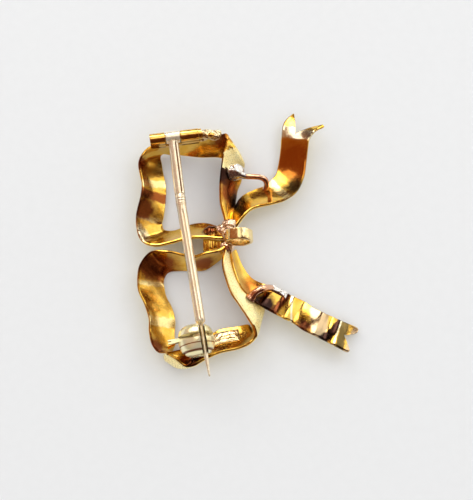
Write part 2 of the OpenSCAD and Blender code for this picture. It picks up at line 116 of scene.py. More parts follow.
# Sections of the ribbons. Columns: x, y and z as shares of the ribbon's own size, bearing and tilt in
# degrees, and width as a share of the ribbon's.
UPPER_LOOP = np.array([
    [0.00, 0.06, 0.60, 220, 65, 0.55], [-0.02, 0.20, 0.60, 214, 60, 0.62],
    [-0.03, 0.34, 0.57, 195, 55, 0.80], [-0.02, 0.51, 0.57, 178, 52, 0.87],
    [0.015, 0.67, 0.60, 149, 42, 0.97], [0.045, 0.81, 0.66, 133, 33, 1.02],
    [0.06, 0.91, 0.71, 125, 25, 1.07], [-0.04, 0.965, 0.57, 98, 45, 0.98],
    [-0.15, 0.98, 0.52, 88, 56, 0.88], [-0.375, 0.972, 0.52, 90, 58, 0.84],
    [-0.64, 0.97, 0.52, 100, 72, 0.82], [-0.80, 0.955, 0.52, 150, 76, 0.82],
    [-0.925, 0.935, 0.50, 190, 60, 0.85], [-0.99, 0.88, 0.49, 194, 50, 0.87],
    [-1.00, 0.80, 0.47, 184, 42, 0.94], [-0.99, 0.70, 0.46, 178, 38, 0.96],
    [-0.95, 0.54, 0.47, 178, 40, 0.96], [-0.96, 0.42, 0.46, 180, 38, 0.98],
    [-1.00, 0.19, 0.46, 182, 36, 1.00], [-0.98, 0.05, 0.46, 222, 34, 1.12],
    [-0.88, -0.02, 0.47, 246, 42, 1.05], [-0.70, -0.003, 0.44, 264, 50, 0.91],
    [-0.50, 0.050, 0.46, 262, 45, 0.89], [-0.31, 0.055, 0.54, 268, 45, 0.92],
    [-0.12, 0.02, 0.60, 270, 50, 0.85], [-0.03, 0.02, 0.60, 268, 55, 0.70],
])
LOWER_LOOP = np.array([
    [-0.04, -0.11, 0.58, 90, 82, 0.55], [-0.125, -0.154, 0.57, 90, 80, 0.66],
    [-0.29, -0.20, 0.52, 90, 69, 0.90], [-0.44, -0.216, 0.43, 92, 70, 0.79],
    [-0.60, -0.206, 0.43, 90, 65, 0.82], [-0.76, -0.203, 0.49, 95, 60, 0.95],
    [-0.89, -0.23, 0.47, 121, 40, 1.05], [-0.96, -0.30, 0.46, 144, 35, 1.08],
    [-0.97, -0.37, 0.46, 165, 35, 1.03], [-0.95, -0.46, 0.45, 175, 32, 1.02],
    [-0.88, -0.556, 0.43, 178, 31, 1.00], [-0.83, -0.66, 0.46, 183, 37, 1.00],
    [-0.825, -0.76, 0.48, 192, 38, 1.00], [-0.81, -0.835, 0.54, 202, 40, 0.97],
    [-0.77, -0.888, 0.57, 212, 44, 0.87], [-0.745, -0.918, 0.55, 232, 66, 0.76],
    [-0.755, -0.952, 0.51, 345, 78, 0.74], [-0.695, -0.98, 0.50, 356, 72, 0.72],
    [-0.61, -1.015, 0.48, 350, 75, 0.66], [-0.525, -1.015, 0.48, 275, 70, 0.64],
    [-0.42, -0.965, 0.45, 264, 44, 0.75], [-0.305, -0.90, 0.45, 268, 36, 0.91],
    [-0.13, -0.835, 0.46, 272, 32, 1.00], [0.09, -0.807, 0.48, 274, 32, 0.96],
    [0.23, -0.781, 0.51, 273, 36, 0.90], [0.305, -0.772, 0.55, 270, 56, 0.66],
    [0.33, -0.70, 0.57, 239, 52, 0.76], [0.31, -0.613, 0.60, 217, 43, 0.95],
    [0.225, -0.525, 0.62, 210, 40, 0.94], [0.125, -0.444, 0.62, 208, 42, 0.87],
    [0.045, -0.338, 0.62, 211, 45, 0.78], [-0.015, -0.23, 0.62, 214, 48, 0.68],
    [-0.03, -0.15, 0.58, 212, 60, 0.55],
])
UPPER_END = np.array([
    [0.04, 0.075, 0.60, 300, 60, 0.50], [0.11, 0.185, 0.57, 294, 42, 0.75],
    [0.20, 0.262, 0.52, 292, 38, 0.85], [0.34, 0.31, 0.47, 277, 36, 0.93],
    [0.475, 0.33, 0.53, 286, 34, 0.96], [0.61, 0.375, 0.52, 300, 26, 1.03],
    [0.71, 0.44, 0.42, 314, 23, 1.05], [0.765, 0.53, 0.36, 333, 23, 1.02],
    [0.79, 0.625, 0.40, 346, 24, 0.97], [0.81, 0.725, 0.52, 348, 24, 0.97],
    [0.825, 0.80, 0.60, 346, 22, 1.00], [0.88, 0.89, 0.54, 341, 16, 1.15],
    [0.97, 0.955, 0.44, 333, 10, 1.20],
])
LOWER_END = np.array([
    [0.02, -0.15, 0.48, 230, 55, 0.50], [0.065, -0.32, 0.50, 226, 50, 0.60],
    [0.13, -0.46, 0.48, 231, 40, 0.72], [0.22, -0.54, 0.43, 238, 33, 0.86],
    [0.317, -0.60, 0.52, 243, 30, 1.00], [0.407, -0.646, 0.37, 247, 28, 1.00],
    [0.483, -0.708, 0.55, 248, 28, 1.00], [0.56, -0.738, 0.38, 245, 28, 1.00],
    [0.633, -0.808, 0.50, 243, 28, 1.00], [0.717, -0.862, 0.56, 246, 27, 1.00],
    [0.793, -0.892, 0.37, 250, 26, 1.00], [0.86, -0.938, 0.46, 252, 24, 1.00],
    [0.927, -0.97, 0.38, 252, 22, 1.00], [1.007, -1.015, 0.33, 247, 18, 1.02],
])
UPPER_LOOP_SIZE = np.array([loop_reach, upper_loop_h, bow_depth])
LOWER_LOOP_SIZE = np.array([loop_reach, lower_loop_h, bow_depth])
UPPER_END_SIZE = np.array([upper_end_out, upper_end_up, bow_depth])
LOWER_END_SIZE = np.array([lower_end_out, lower_end_down, bow_depth])
# Notches of the swallow tails: depth in rows, then shares of the half width at the point and both corners
UPPER_NOTCH = (1.6, -0.17, -0.84, 0.8)
LOWER_NOTCH = (1.0, -0.15, -0.76, 0.82)


# Ribbons as smooth surfaces
def smooth(rows, t):
    """A point of the smooth curve through the rows of a table."""
    last = len(rows) - 1
    i = min(max(int(math.floor(t)), 0), last - 1)
    s = t - i
    a = rows[i - 1] if i > 0 else 2 * rows[0] - rows[1]
    b, c = rows[i], rows[i + 1]
    d = rows[i + 2] if i + 2 <= last else 2 * rows[last] - rows[last - 1]
    square = (2 * a - 5 * b + 4 * c - d) * s * s
    cube = (3 * b - a - 3 * c + d) * s ** 3
    return 0.5 * (2 * b + (c - a) * s + square + cube)


class Ribbon:
    """A ribbon through the rows of its table. A share runs from -1 to 1 across it."""

    def __init__(self, table, size):
        tilt, bearing = np.radians(table[:, 4]), np.radians(table[:, 3])
        way = np.stack([np.cos(tilt) * np.cos(bearing), np.cos(tilt) * np.sin(bearing), np.sin(tilt)], 1)
        self.halves = way * table[:, 5:6] * ribbon_w / 2
        self.middles = table[:, :3] * size
        self.last = len(table) - 1

    def facing(self, t):
        """The way that the inner face looks at a row."""
        along = smooth(self.middles, t + 0.05) - smooth(self.middles, t - 0.05)
        n = np.cross(smooth(self.halves, t), along)
        return n / np.linalg.norm(n)

    def point(self, t, share, rise=0.0):
        """A point at a row and a share, raised over the middle face."""
        return (smooth(self.middles, t) + share * smooth(self.halves, t)
                + (rise - ribbon_cup * (1 - share * share)) * self.facing(t))


def closed(table):
    return np.vstack([table, table[:1]])


upper_loop = Ribbon(closed(UPPER_LOOP), UPPER_LOOP_SIZE)
lower_loop = Ribbon(closed(LOWER_LOOP), LOWER_LOOP_SIZE)
upper_end = Ribbon(UPPER_END, UPPER_END_SIZE)
lower_end = Ribbon(LOWER_END, LOWER_END_SIZE)


def turn_vector(turn, x, y, z=0.0):
    """A vector turned about Z."""
    c, s = math.cos(math.radians(turn)), math.sin(math.radians(turn))
    return np.array([c * x - s * y, s * x + c * y, z])


hinge_axis = turn_vector(STEM_TURN, 1, 0)
sleeve_way = turn_vector(STEM_TURN, 0, -1)
shaft_way = turn_vector(CATCH_TURN, 0, -1)
ball_middle = CATCH + turn_vector(CATCH_TURN, -pin_offset, 0)
UP = (0, 0, 1)


# Mesh helpers
def mesh_object(name, points, faces):
    mesh = bpy.data.meshes.new(name)
    mesh.from_pydata([tuple(p) for p in points], [], faces)
    mesh.update()
    obj = bpy.data.objects.new(name, mesh)
    bpy.context.collection.objects.link(obj)
    return obj


def baked(obj):
    """The object with its modifiers applied."""
    graph = bpy.context.evaluated_depsgraph_get()
    graph.update()
    mesh = bpy.data.meshes.new_from_object(obj.evaluated_get(graph))
    obj.modifiers.clear()
    old = obj.data
    obj.data = mesh
    bpy.data.meshes.remove(old)
    return obj


def cut(obj, cutter, operation="DIFFERENCE"):
    mod = obj.modifiers.new("cut", "BOOLEAN")
    mod.object = cutter
    mod.operation = operation
    mod.solver = "EXACT"
    baked(obj)
    bpy.data.objects.remove(cutter)
    return obj


def bevelled(obj, width, segments=2, angle=35):
    mod = obj.modifiers.new("bevel", "BEVEL")
    mod.width = width
    mod.segments = segments
    mod.limit_method = "ANGLE"
    mod.angle_limit = math.radians(angle)
    mod.use_clamp_overlap = True
    return baked(obj)


def outward(obj):
    """The object with all its faces turned outward."""
    bm = bmesh.new()
    bm.from_mesh(obj.data)
    bmesh.ops.recalc_face_normals(bm, faces=bm.faces)
    bm.to_mesh(obj.data)
    bm.free()
    return obj


def joined(objs, name):
    bm = bmesh.new()
    for o in objs:
        bm.from_mesh(o.data)
    mesh = bpy.data.meshes.new(name)
    bm.to_mesh(mesh)
    bm.free()
    for o in objs:
        bpy.data.objects.remove(o)
    obj = bpy.data.objects.new(name, mesh)
    bpy.context.collection.objects.link(obj)
    return obj


def remeshed(obj, voxel):
    """The object as one skin, smoothed a little."""
    mod = obj.modifiers.new("remesh", "REMESH")
    mod.mode = "VOXEL"
    mod.voxel_size = voxel
    baked(obj)
    mod = obj.modifiers.new("smooth", "SMOOTH")
    mod.iterations = 2
    mod.factor = 0.5
    return baked(obj)


def rough(obj, amount, per_mm, seed):
    """Moves the points in or out by smooth noise."""
    obj.data.update()
    offset = Vector((seed, 2 * seed, 3 * seed))
    for v in obj.data.vertices:
        n = noise.noise(v.co * per_mm + offset) + 0.5 * noise.noise(v.co * per_mm * 2.3 + offset)
        v.co += v.normal * amount * n
    obj.data.update()
    return obj


def soldered(lumps, name, voxel, amount, per_mm, seed):
    """Lumps of solder that have run together, with a rough skin."""
    return rough(remeshed(joined(lumps, name), voxel), amount, per_mm, seed)


def settled(obj, body, node, materials, angle):
    """Turns the source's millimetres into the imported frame's metres, and finishes the piece."""
    mesh = obj.data
    mesh.transform(Matrix.Translation(Vector(-ORIGIN)))
    mesh.transform(Matrix.Scale(MM, 4))
    mesh.polygons.foreach_set("use_smooth", [True] * len(mesh.polygons))
    mesh.set_sharp_from_angle(angle=math.radians(angle))
    slots = [polygon.material_index for polygon in mesh.polygons]
    mesh.materials.clear()
    for material in materials:
        mesh.materials.append(material)
    mesh.polygons.foreach_set("material_index", slots)
    mesh.update()
    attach(obj, body)
    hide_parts(node)


def on_bow(obj, *materials, angle=32):
    settled(obj, "brooch", "bow", materials, angle)


def on_pin(obj, angle=60):
    settled(obj, "pin", "pin_stem", [ROSE], angle)


# Shapes
def tube_faces(rows, sides, endless=False):
    """The faces of a tube through rows of points, with its two ends closed."""
    faces = []
    for k in range(rows if endless else rows - 1):
        m = (k + 1) % rows
        for i in range(sides):
            j = (i + 1) % sides
            faces.append((k * sides + i, k * sides + j, m * sides + j, m * sides + i))
    if not endless:
        faces.append(tuple(range(sides - 1, -1, -1)))
        faces.append(tuple((rows - 1) * sides + i for i in range(sides)))
    return faces


def ring_round(middle, along, sides, radius):
    """Points of a circle round a way, where radius gives the radius at an angle."""
    side = np.cross(along, UP)
    side = side / np.linalg.norm(side)
    top = np.cross(side, along)
    points = []
    for i in range(sides):
        a = 2 * math.pi * i / sides
        points.append(middle + radius(a) * (math.cos(a) * side + math.sin(a) * top))
    return points


def ribbon_section():
    """A ribbon's section with rounded edges: shares across it, and heights over its middle face."""
    edge, edge_share, rise_share = 0.09, 0.25, 0.62
    h = ribbon_t / 2
    side, rise = 1 - edge_share * edge, rise_share * h
    inner = np.linspace(-1 + edge, 1 - edge, 15)
    under = [(-side, -rise)] + [(share, -h) for share in inner] + [(side, -rise)]
    over = [(side, rise)] + [(share, h) for share in inner[::-1]] + [(-side, rise)]
    return [(-1, 0.0)] + under + [(1, 0.0)] + over


def ripple_at(ripple, t, share):
    """How high a ripple lifts a ribbon: its first and last row, length in rows, height and slant."""
    start, stop, length, height, slant = ripple
    fade = min(1.0, max(0.0, t - start), max(0.0, stop - t))
    return height * fade * math.sin(2 * math.pi * (t + slant * share) / length)


def strip(name, ribbon, last, step, wave, seed, endless=False, tips=(0.0, 0.0), ripple=None):
    """A ribbon from its first row to the last, wavy by noise, and drawn in at its end by two tips."""
    tip_rows, waves_per_mm = 1.3, 0.55
    section = ribbon_section()
    count = int(round(last / step))
    rows = [last * k / count for k in range(count if endless else count + 1)]
    points = []
    for t in rows:
        mid, half, normal = smooth(ribbon.middles, t), smooth(ribbon.halves, t), ribbon.facing(t)
        end = 0.0 if endless else min(max((t - last + tip_rows) / tip_rows, 0.0), 1.0) ** 2
        for share, rise in section:
            share *= 1 - end * (tips[0] if share < 0 else tips[1]) - tip_round * end ** 7
            p = mid + share * half
            q = Vector(p) * waves_per_mm + Vector((seed, 0, 0))
            swell = ripple_at(ripple, t, share) if ripple else 0.0
            lift = rise - ribbon_cup * (1 - share * share) + swell
            lift += wave * (noise.noise(q) + 0.4 * noise.noise(q * 2.7))
            points.append(p + lift * normal)
    return outward(mesh_object(name, points, tube_faces(len(rows), len(section), endless)))


def two_faced(obj, ribbon):
    """Marks the outer side of a ribbon, which takes the second of its materials.

    The upper loop's first rows carry painted dark reflections on both sides, and keep the first.
    """
    painted_dark_row, outer_below = 4.2, -0.4
    rows = np.linspace(0, ribbon.last, 8 * ribbon.last + 1)
    middles = np.array([smooth(ribbon.middles, t) for t in rows])
    ways = np.array([ribbon.facing(t) for t in rows])
    for polygon in obj.data.polygons:
        near = np.argmin(((middles - np.array(polygon.center)) ** 2).sum(1))
        painted_dark = ribbon is upper_loop and rows[near] < painted_dark_row
        polygon.material_index = int(ways[near] @ np.array(polygon.normal) < outer_below and not painted_dark)
    return obj


def swallowtail(obj, ribbon, notch):
    """Cuts the notch of a ribbon's end, with sides that curve towards each other."""
    depth, middle, left, right = notch
    bulge, past, steps = 0.22, 1.6, 9
    point = ribbon.point(ribbon.last - depth, middle)
    a = point + past * (ribbon.point(ribbon.last, left) - point)
    b = point + past * (ribbon.point(ribbon.last, right) - point)
    way = bulge * (b - a) / np.linalg.norm(b - a)
    shares = np.linspace(0, 1, steps)
    corners = [point + u * (a - point) + math.sin(math.pi * u) * way for u in shares]
    corners += [point + u * (b - point) - math.sin(math.pi * u) * way for u in shares[:0:-1]]
    points = [(c[0], c[1], z) for z in (-bow_depth, 2 * bow_depth) for c in corners]
    return cut(obj, outward(mesh_object("cutter", points, tube_faces(2, len(corners)))))


def patch(name, ribbon, first, last, front, back, seed):
    """Solder flooded over a stretch of a ribbon, thin at its rim."""
    rows, cols = 26, 22
    n = cols + 1
    bumps, sink, rim_slope = 0.06, 0.08, 5.0
    top, base = [], []
    for k in range(rows + 1):
        for i in range(n):
            u, v = k / rows, i / cols
            t, share = first + (last - first) * u, front + (back - front) * v
            dome = max(0.0, min(1.0, rim_slope * min(u, 1 - u, v, 1 - v)))
            p = Vector(ribbon.point(t, share))
            lift = ribbon_t / 2 - sink + patch_t * math.sqrt(dome)
            lift += bumps * dome * (noise.noise(p * 2.2 + Vector((seed, 0, 0))) + noise.noise(p * 4.5))
            top.append(ribbon.point(t, share, lift))
            base.append(ribbon.point(t, share))
    low = len(top)
    corners = [k * n + i for k in range(rows) for i in range(cols)]
    faces = [(a, a + 1, a + n + 1, a + n) for a in corners]
    faces += [(low + a, low + a + n, low + a + n + 1, low + a + 1) for a in corners]
    for rim in (range(n), range(rows * n, low), range(0, low, n), range(cols, low, n)):
        faces += [(a, b, low + b, low + a) for a, b in zip(rim, rim[1:])]
    return outward(mesh_object(name, top + base, faces))


def ball_of(name, at, size, sides=32, layers=20, uneven=0.07, seed=0.0):
    """A ball with a slightly uneven skin."""
    pole = np.array([0, 0, size[2] / 2])
    points = [at + pole]
    for k in range(1, layers):
        lat = math.pi / 2 - math.pi * k / layers
        for i in range(sides):
            lon = 2 * math.pi * i / sides
            r = 0.5 * (1 + uneven * math.sin(3 * lon + seed) * math.cos(2 * lat + seed))
            way = np.array([math.cos(lat) * math.cos(lon), math.cos(lat) * math.sin(lon), math.sin(lat)])
            points.append(at + r * way * size)
    points.append(at - pole)
    faces = [(0, 1 + i, 1 + (i + 1) % sides) for i in range(sides)]
    for k in range(layers - 2):
        for i in range(sides):
            a, b = 1 + k * sides + i, 1 + k * sides + (i + 1) % sides
            faces.append((a, a + sides, b + sides, b))
    last = len(points) - 1
    first = 1 + (layers - 2) * sides
    faces += [(last, first + (i + 1) % sides, first + i) for i in range(sides)]
    return outward(mesh_object(name, points, faces))


def turned(name, at, axis, profile, sides=64, radius=None):
    """A solid of revolution: profile lists distances along the axis with their radii.

    The function radius(along, angle, r) may change the radius round the axis.
    """
    points = []
    for along, r in profile:
        points += ring_round(at + along * axis, axis, sides, lambda a: radius(along, a, r) if radius else r)
    return outward(mesh_object(name, points, tube_faces(len(profile), sides)))


def rounded_profile(start, end, r, rounding, steps=4):
    """The profile of a short cylinder with rounded rims."""
    rim = []
    for k in range(steps, -1, -1):
        a = math.pi / 2 * k / steps
        rim.append((start + rounding * (1 - math.sin(a)), r - rounding * (1 - math.cos(a))))
    wall = [(start + (end - start) * s, r) for s in (0.2, 0.35, 0.5, 0.65, 0.8)]
    return rim + wall + [(start + end - along, radius) for along, radius in rim[::-1]]


def cylinder(at, axis, r, length, sides):
    """A cylinder to cut a bore with."""
    return turned("cutter", at, axis, [(-length / 2, r), (length / 2, r)], sides)


def block(name, at, turn, low, high):
    """A box between two corners, in a frame turned about Z at a point."""
    points = []
    for z in (low[2], high[2]):
        for x, y in ((low[0], low[1]), (high[0], low[1]), (high[0], high[1]), (low[0], high[1])):
            points.append(at + turn_vector(turn, x, y, z))
    faces = [(0, 3, 2, 1), (4, 5, 6, 7), (0, 1, 5, 4), (1, 2, 6, 5), (2, 3, 7, 6), (3, 0, 4, 7)]
    return mesh_object(name, points, faces)


def wire(name, path, d, flare=0.0, taper=2.5):
    """A round wire through the points of a path, thicker by the flare at its start."""
    sides, steps = 20, 8
    path = np.array(path)
    rows = [smooth(path, k / steps) for k in range((len(path) - 1) * steps + 1)]
    points = []
    for k, p in enumerate(rows):
        along = rows[min(k + 1, len(rows) - 1)] - rows[max(k - 1, 0)]
        r = d / 2 + flare * math.exp(-(taper * k / steps) ** 2)
        points += ring_round(p, along / np.linalg.norm(along), sides, lambda a: r)
    return outward(mesh_object(name, points, tube_faces(len(rows), sides)))


# Materials
def added(tree, kind, **values):
    """A new node of a node tree, with its settings."""
    made = tree.nodes.new(kind)
    for key, value in values.items():
        setattr(made, key, value)
    return made


def metal(name, light, deep, shine, scratch, dents, dent_scale, grain=0.0, metallic=1.0, painted_marks=()):
    """Worn metal: varied colour, scratches three ways, soft dents, painted shade in corners that are rougher
    too, and local painted marks.

    Shine is its lowest and highest roughness. A painted mark has a place, the way across it (None where it is
    round), half its width, how far it reaches and its colour. Most painted marks are painted reflections and
    shade.
    """
    mat = bpy.data.materials.new(name)
    mat.use_nodes = True
    tree, links = mat.node_tree, mat.node_tree.links
    shader = tree.nodes["Principled BSDF"]
    shader.inputs["Metallic"].default_value = metallic
    coords = added(tree, "ShaderNodeTexCoord")

    def mapped(scale, turn=(0, 0, 0)):
        """Object coordinates in millimetres, scaled and turned."""
        made = added(tree, "ShaderNodeMapping")
        made.inputs["Scale"].default_value = [s / MM for s in scale]
        made.inputs["Rotation"].default_value = [math.radians(a) for a in turn]
        links.new(coords.outputs["Object"], made.inputs["Vector"])
        return made.outputs["Vector"]

    def noise_of(vector, scale, detail, roughness=0.55):
        made = added(tree, "ShaderNodeTexNoise")
        for key, number in (("Scale", scale), ("Detail", detail), ("Roughness", roughness)):
            made.inputs[key].default_value = number
        links.new(vector, made.inputs["Vector"])
        return made.outputs["Fac"]

    def ranged(value, a, b, c, d):
        """A value from between a and b, taken to between c and d."""
        made = added(tree, "ShaderNodeMapRange")
        for key, number in zip(("From Min", "From Max", "To Min", "To Max"), (a, b, c, d)):
            made.inputs[key].default_value = number
        links.new(value, made.inputs["Value"])
        return made.outputs["Result"]

    def fed(made, values):
        """A node with its first inputs linked or set."""
        for slot, value in zip(made.inputs, values):
            if isinstance(value, bpy.types.NodeSocket):
                links.new(value, slot)
            else:
                slot.default_value = value
        return made

    def math_of(kind, *values):
        return fed(added(tree, "ShaderNodeMath", operation=kind), values).outputs[0]

    def vector_of(kind, *values):
        return fed(added(tree, "ShaderNodeVectorMath", operation=kind), values)

    def mixed(a, b, share):
        """A colour that goes from a to b by a share."""
        made = added(tree, "ShaderNodeMix", data_type="RGBA")
        for key, value in (("A", a), ("B", b), ("Factor", share)):
            if isinstance(value, bpy.types.NodeSocket):
                links.new(value, made.inputs[key])
            else:
                made.inputs[key].default_value = (*value, 1)
        return made.outputs["Result"]

    def bumped(height, distance, below=None, invert=False):
        """A normal that is bumped by a height, over another normal."""
        made = added(tree, "ShaderNodeBump", invert=invert)
        made.inputs["Strength"].default_value = 1.0
        made.inputs["Distance"].default_value = distance * MM
        links.new(height, made.inputs["Height"])
        if below:
            links.new(below, made.inputs["Normal"])
        return made.outputs["Normal"]

    # Patches of colour, fine wear, and thin scratches three ways
    plain = mapped((1, 1, 1))
    patchy = noise_of(plain, 0.7, 4)
    fine = noise_of(plain, 7.0, 5, 0.6)
    lines_a = noise_of(mapped((0.5, 24, 24), (0, 0, 18)), 1.0, 2)
    lines_b = noise_of(mapped((22, 0.6, 22), (0, 0, -32)), 1.0, 2)
    lines_c = noise_of(mapped((16, 0.9, 16), (20, 0, 63)), 1.0, 2)
    others = math_of("MAXIMUM", ranged(lines_b, 0.66, 0.74, 0, 1), ranged(lines_c, 0.67, 0.75, 0, 1))
    thin = math_of("MAXIMUM", ranged(lines_a, 0.64, 0.72, 0, 1), others)

    # Painted shade in the corners: the colour darkens where the AO node finds other surfaces close by
    corner = added(tree, "ShaderNodeAmbientOcclusion", samples=4)
    corner.inputs["Distance"].default_value = 0.7 * MM
    open_share = corner.outputs["AO"]
    corner_shade = [0.35 * c * k for c, k in zip(deep, (1, 0.85, 0.7))]
    tint = mixed(light, deep, ranged(patchy, 0.35, 0.68, 0, 1))
    colour = mixed(corner_shade, tint, ranged(open_share, 0.05, 0.55, 0, 1))

    # Painted marks have ragged rims, and bands keep their full colour further out than spots
    spot_full, band_full, wide_band, softest = 0.5, 0.8, 0.2, 0.12
    if painted_marks:
        ragged = ranged(noise_of(plain, 1.6, 4), 0.3, 0.7, -0.25 * MM, 0.25 * MM)
    for place, way, half_width, reach, marked_colour in painted_marks:
        away = vector_of("SUBTRACT", coords.outputs["Object"], MM * (place - ORIGIN)).outputs["Vector"]
        distance = math_of("ADD", vector_of("LENGTH", away).outputs["Value"], ragged)
        full = spot_full if way is None else band_full
        covered = ranged(distance, MM * full * reach, MM * reach, 1, 0)
        if way is not None:
            apart = math_of("ABSOLUTE", vector_of("DOT_PRODUCT", away, way).outputs["Value"])
            if half_width > wide_band:
                apart = math_of("ADD", apart, math_of("MULTIPLY", ragged, 0.5))
            soft = min(softest, half_width / 2)
            across = ranged(apart, MM * (half_width - soft), MM * (half_width + soft), 1, 0)
            covered = math_of("MULTIPLY", covered, across)
        colour = mixed(colour, marked_colour, covered)
    links.new(colour, shader.inputs["Base Color"])

    wear = math_of("ADD", ranged(fine, 0.3, 0.75, *shine), math_of("MULTIPLY", thin, 0.12 * scratch))
    soiled = math_of("ADD", wear, ranged(open_share, 0.05, 0.5, 0.3, 0.0))
    links.new(soiled, shader.inputs["Roughness"])

    # Dents, scratches and grain, by their depth in millimetres
    normal = bumped(noise_of(plain, dent_scale, 2, 0.4), 0.06 * dents)
    normal = bumped(thin, 0.006 * scratch, normal, invert=True)
    if grain:
        normal = bumped(noise_of(plain, 4.5, 4, 0.6), 0.04 * grain, normal)
    links.new(normal, shader.inputs["Normal"])
    return mat


def spot(ribbon, row, share, reach, colour):
    """A round painted reflection on a ribbon."""
    return ribbon.point(row, share), None, 0, reach, colour


def band(ribbon, row, half_width, reach, colour, share=0):
    """A painted reflection that runs straight across a ribbon."""
    way = ribbon.point(row + 0.2, 0) - ribbon.point(row - 0.2, 0)
    return ribbon.point(row, share), way / np.linalg.norm(way), half_width, reach, colour


# Colours of the painted reflections and shade, and of the knot's darker patch
RED_BROWN = (0.56, 0.20, 0.03)
BROWN = (0.30, 0.085, 0.02)
UMBER = (0.16, 0.045, 0.014)
COAL = (0.04, 0.017, 0.012)
OLIVE = (0.16, 0.11, 0.035)
STRAW = (0.98, 0.78, 0.34)
SAND = (0.66, 0.48, 0.27)
LINEN = (0.80, 0.70, 0.46)
CREAM = (0.97, 0.85, 0.56)

# Painted reflections on the ribbons: dark spots and bands stand in for dark reflections, and pale ones for
# highlights
RIBBON_PAINTED_REFLECTIONS = [
    spot(upper_loop, 2.6, 0, 2.4, BROWN),
    spot(upper_loop, 3.7, 0.5, 2.6, UMBER),
    spot(upper_loop, 3.6, 0.9, 1.6, COAL),
    spot(upper_loop, 2.2, -0.5, 1.6, COAL),
    band(upper_loop, 15.8, 0.45, 3.2, STRAW),
    band(upper_loop, 16.9, 0.6, 3.2, BROWN),
    band(upper_loop, 18.0, 0.3, 2.8, STRAW),
    spot(upper_loop, 7.6, 0.5, 1.8, BROWN),
    spot(upper_loop, 17.6, 0.6, 2.4, UMBER),
    spot(upper_loop, 14.3, 0.95, 1.4, BROWN),
    spot(upper_loop, 18.8, 0.95, 1.6, CREAM),
    spot(upper_end, 7.9, 0.1, 3.6, RED_BROWN),
    band(upper_end, 10.4, 0.8, 3.2, LINEN),
    band(upper_end, 5.0, 0.5, 2.8, STRAW, 0.1),
    spot(upper_end, 6.2, 0.7, 1.5, OLIVE),
    band(lower_loop, 8.1, 0.3, 2.8, STRAW),
    spot(lower_loop, 5.8, -0.2, 3.0, BROWN),
    spot(lower_loop, 6.7, 0.4, 2.4, UMBER),
    spot(lower_loop, 13.5, 0.9, 1.7, BROWN),
    spot(lower_loop, 2.2, -0.2, 1.8, BROWN),
    band(lower_loop, 11.2, 0.6, 2.8, STRAW, 0.2),
    spot(lower_loop, 19.2, 0, 2.2, UMBER),
    spot(lower_end, 2.6, 0, 2.0, RED_BROWN),
    spot(lower_end, 3.9, 0.7, 2.2, COAL),
    band(lower_end, 5.1, 0.5, 2.8, UMBER, 0.2),
    band(lower_end, 6.25, 0.14, 3, CREAM),
    spot(lower_end, 8.1, 0.7, 1.5, UMBER),
    band(lower_end, 9.2, 1.1, 3.4, SAND),
    band(lower_end, 10.65, 0.55, 3.4, COAL),
    band(lower_end, 11.2, 0.12, 3, CREAM),
    band(lower_end, 11.8, 0.55, 3.2, OLIVE),
    band(lower_end, 13.1, 0.8, 3.4, SAND),
]
# A darker patch on the knot's wrap
KNOT_DARK_PATCH = (np.array([-2.5, 0.55, 2.2]), None, 0, 1.2, UMBER)
# Painted shade: dark lines in the seams of the pin's sleeve and of its shaft
PIN_SEAM_SHADE = [
    (HINGE + 4.2 * sleeve_way + turn_vector(STEM_TURN, 0.27, 0, 0.5), turn_vector(STEM_TURN, 0.87, 0, -0.5),
     0.07, 4.0, UMBER),
    (HINGE + 15.0 * sleeve_way + [0.9, 0, 0.6], turn_vector(CATCH_TURN, 1, 0), 0.08, 7.5, UMBER),
]
# Painted shade and dark reflections: dark rings round the ball. Columns: place along its bore, half width,
# reach, colour
BALL_PAINTED_RINGS = [(1.45, 0.12, 2.6, UMBER), (0.66, 0.06, 2.8, BROWN), (-0.06, 0.05, 2.8, OLIVE)]
BALL_PAINTED_DARKS = [(ball_middle + y * shaft_way, shaft_way, *ring) for y, *ring in BALL_PAINTED_RINGS]

# Ribbons inside and outside, pin, ball, hinge, bail ring, struts, and three kinds of solder
YELLOW = metal("ribbon_gold", (0.92, 0.60, 0.13), (0.85, 0.46, 0.05), (0.11, 0.22),
               scratch=0.6, dents=0.4, dent_scale=0.7, painted_marks=[*RIBBON_PAINTED_REFLECTIONS, KNOT_DARK_PATCH])
FRONT = metal("brushed_gold", (1.0, 0.87, 0.44), (0.95, 0.74, 0.30), (0.22, 0.36),
              scratch=0.6, dents=0.5, dent_scale=0.6, metallic=0.35)
ROSE = metal("rose_gold", (1.0, 0.90, 0.68), (0.97, 0.80, 0.54), (0.18, 0.30),
             scratch=0.8, dents=0.3, dent_scale=1.5, metallic=0.7, painted_marks=PIN_SEAM_SHADE)
PALE = metal("pale_gold", (1.0, 0.92, 0.60), (0.97, 0.84, 0.44), (0.11, 0.24),
             scratch=0.6, dents=0.5, dent_scale=1.2, metallic=0.6, painted_marks=BALL_PAINTED_DARKS)
KNUCKLE = metal("knuckle_gold", (0.94, 0.62, 0.17), (0.88, 0.48, 0.08), (0.06, 0.18),
                scratch=0.5, dents=0.5, dent_scale=1.4)
BAIL_GOLD = metal("bail_gold", (0.98, 0.82, 0.46), (0.94, 0.68, 0.28), (0.14, 0.28),
                  scratch=0.5, dents=0.7, dent_scale=1.2)
STRUT = metal("strut_gold", (0.93, 0.60, 0.40), (0.84, 0.42, 0.24), (0.08, 0.26),
              scratch=0.6, dents=0.8, dent_scale=1.6, grain=0.3)
SILVER = metal("solder_silver", (0.72, 0.71, 0.68), (0.60, 0.58, 0.54), (0.10, 0.32),
               scratch=0.5, dents=1.0, dent_scale=1.6, grain=0.5)
SOLDER = metal("solder_gold", (0.93, 0.78, 0.48), (0.86, 0.62, 0.30), (0.10, 0.34),
               scratch=0.5, dents=1.2, dent_scale=2.2, grain=1.0)
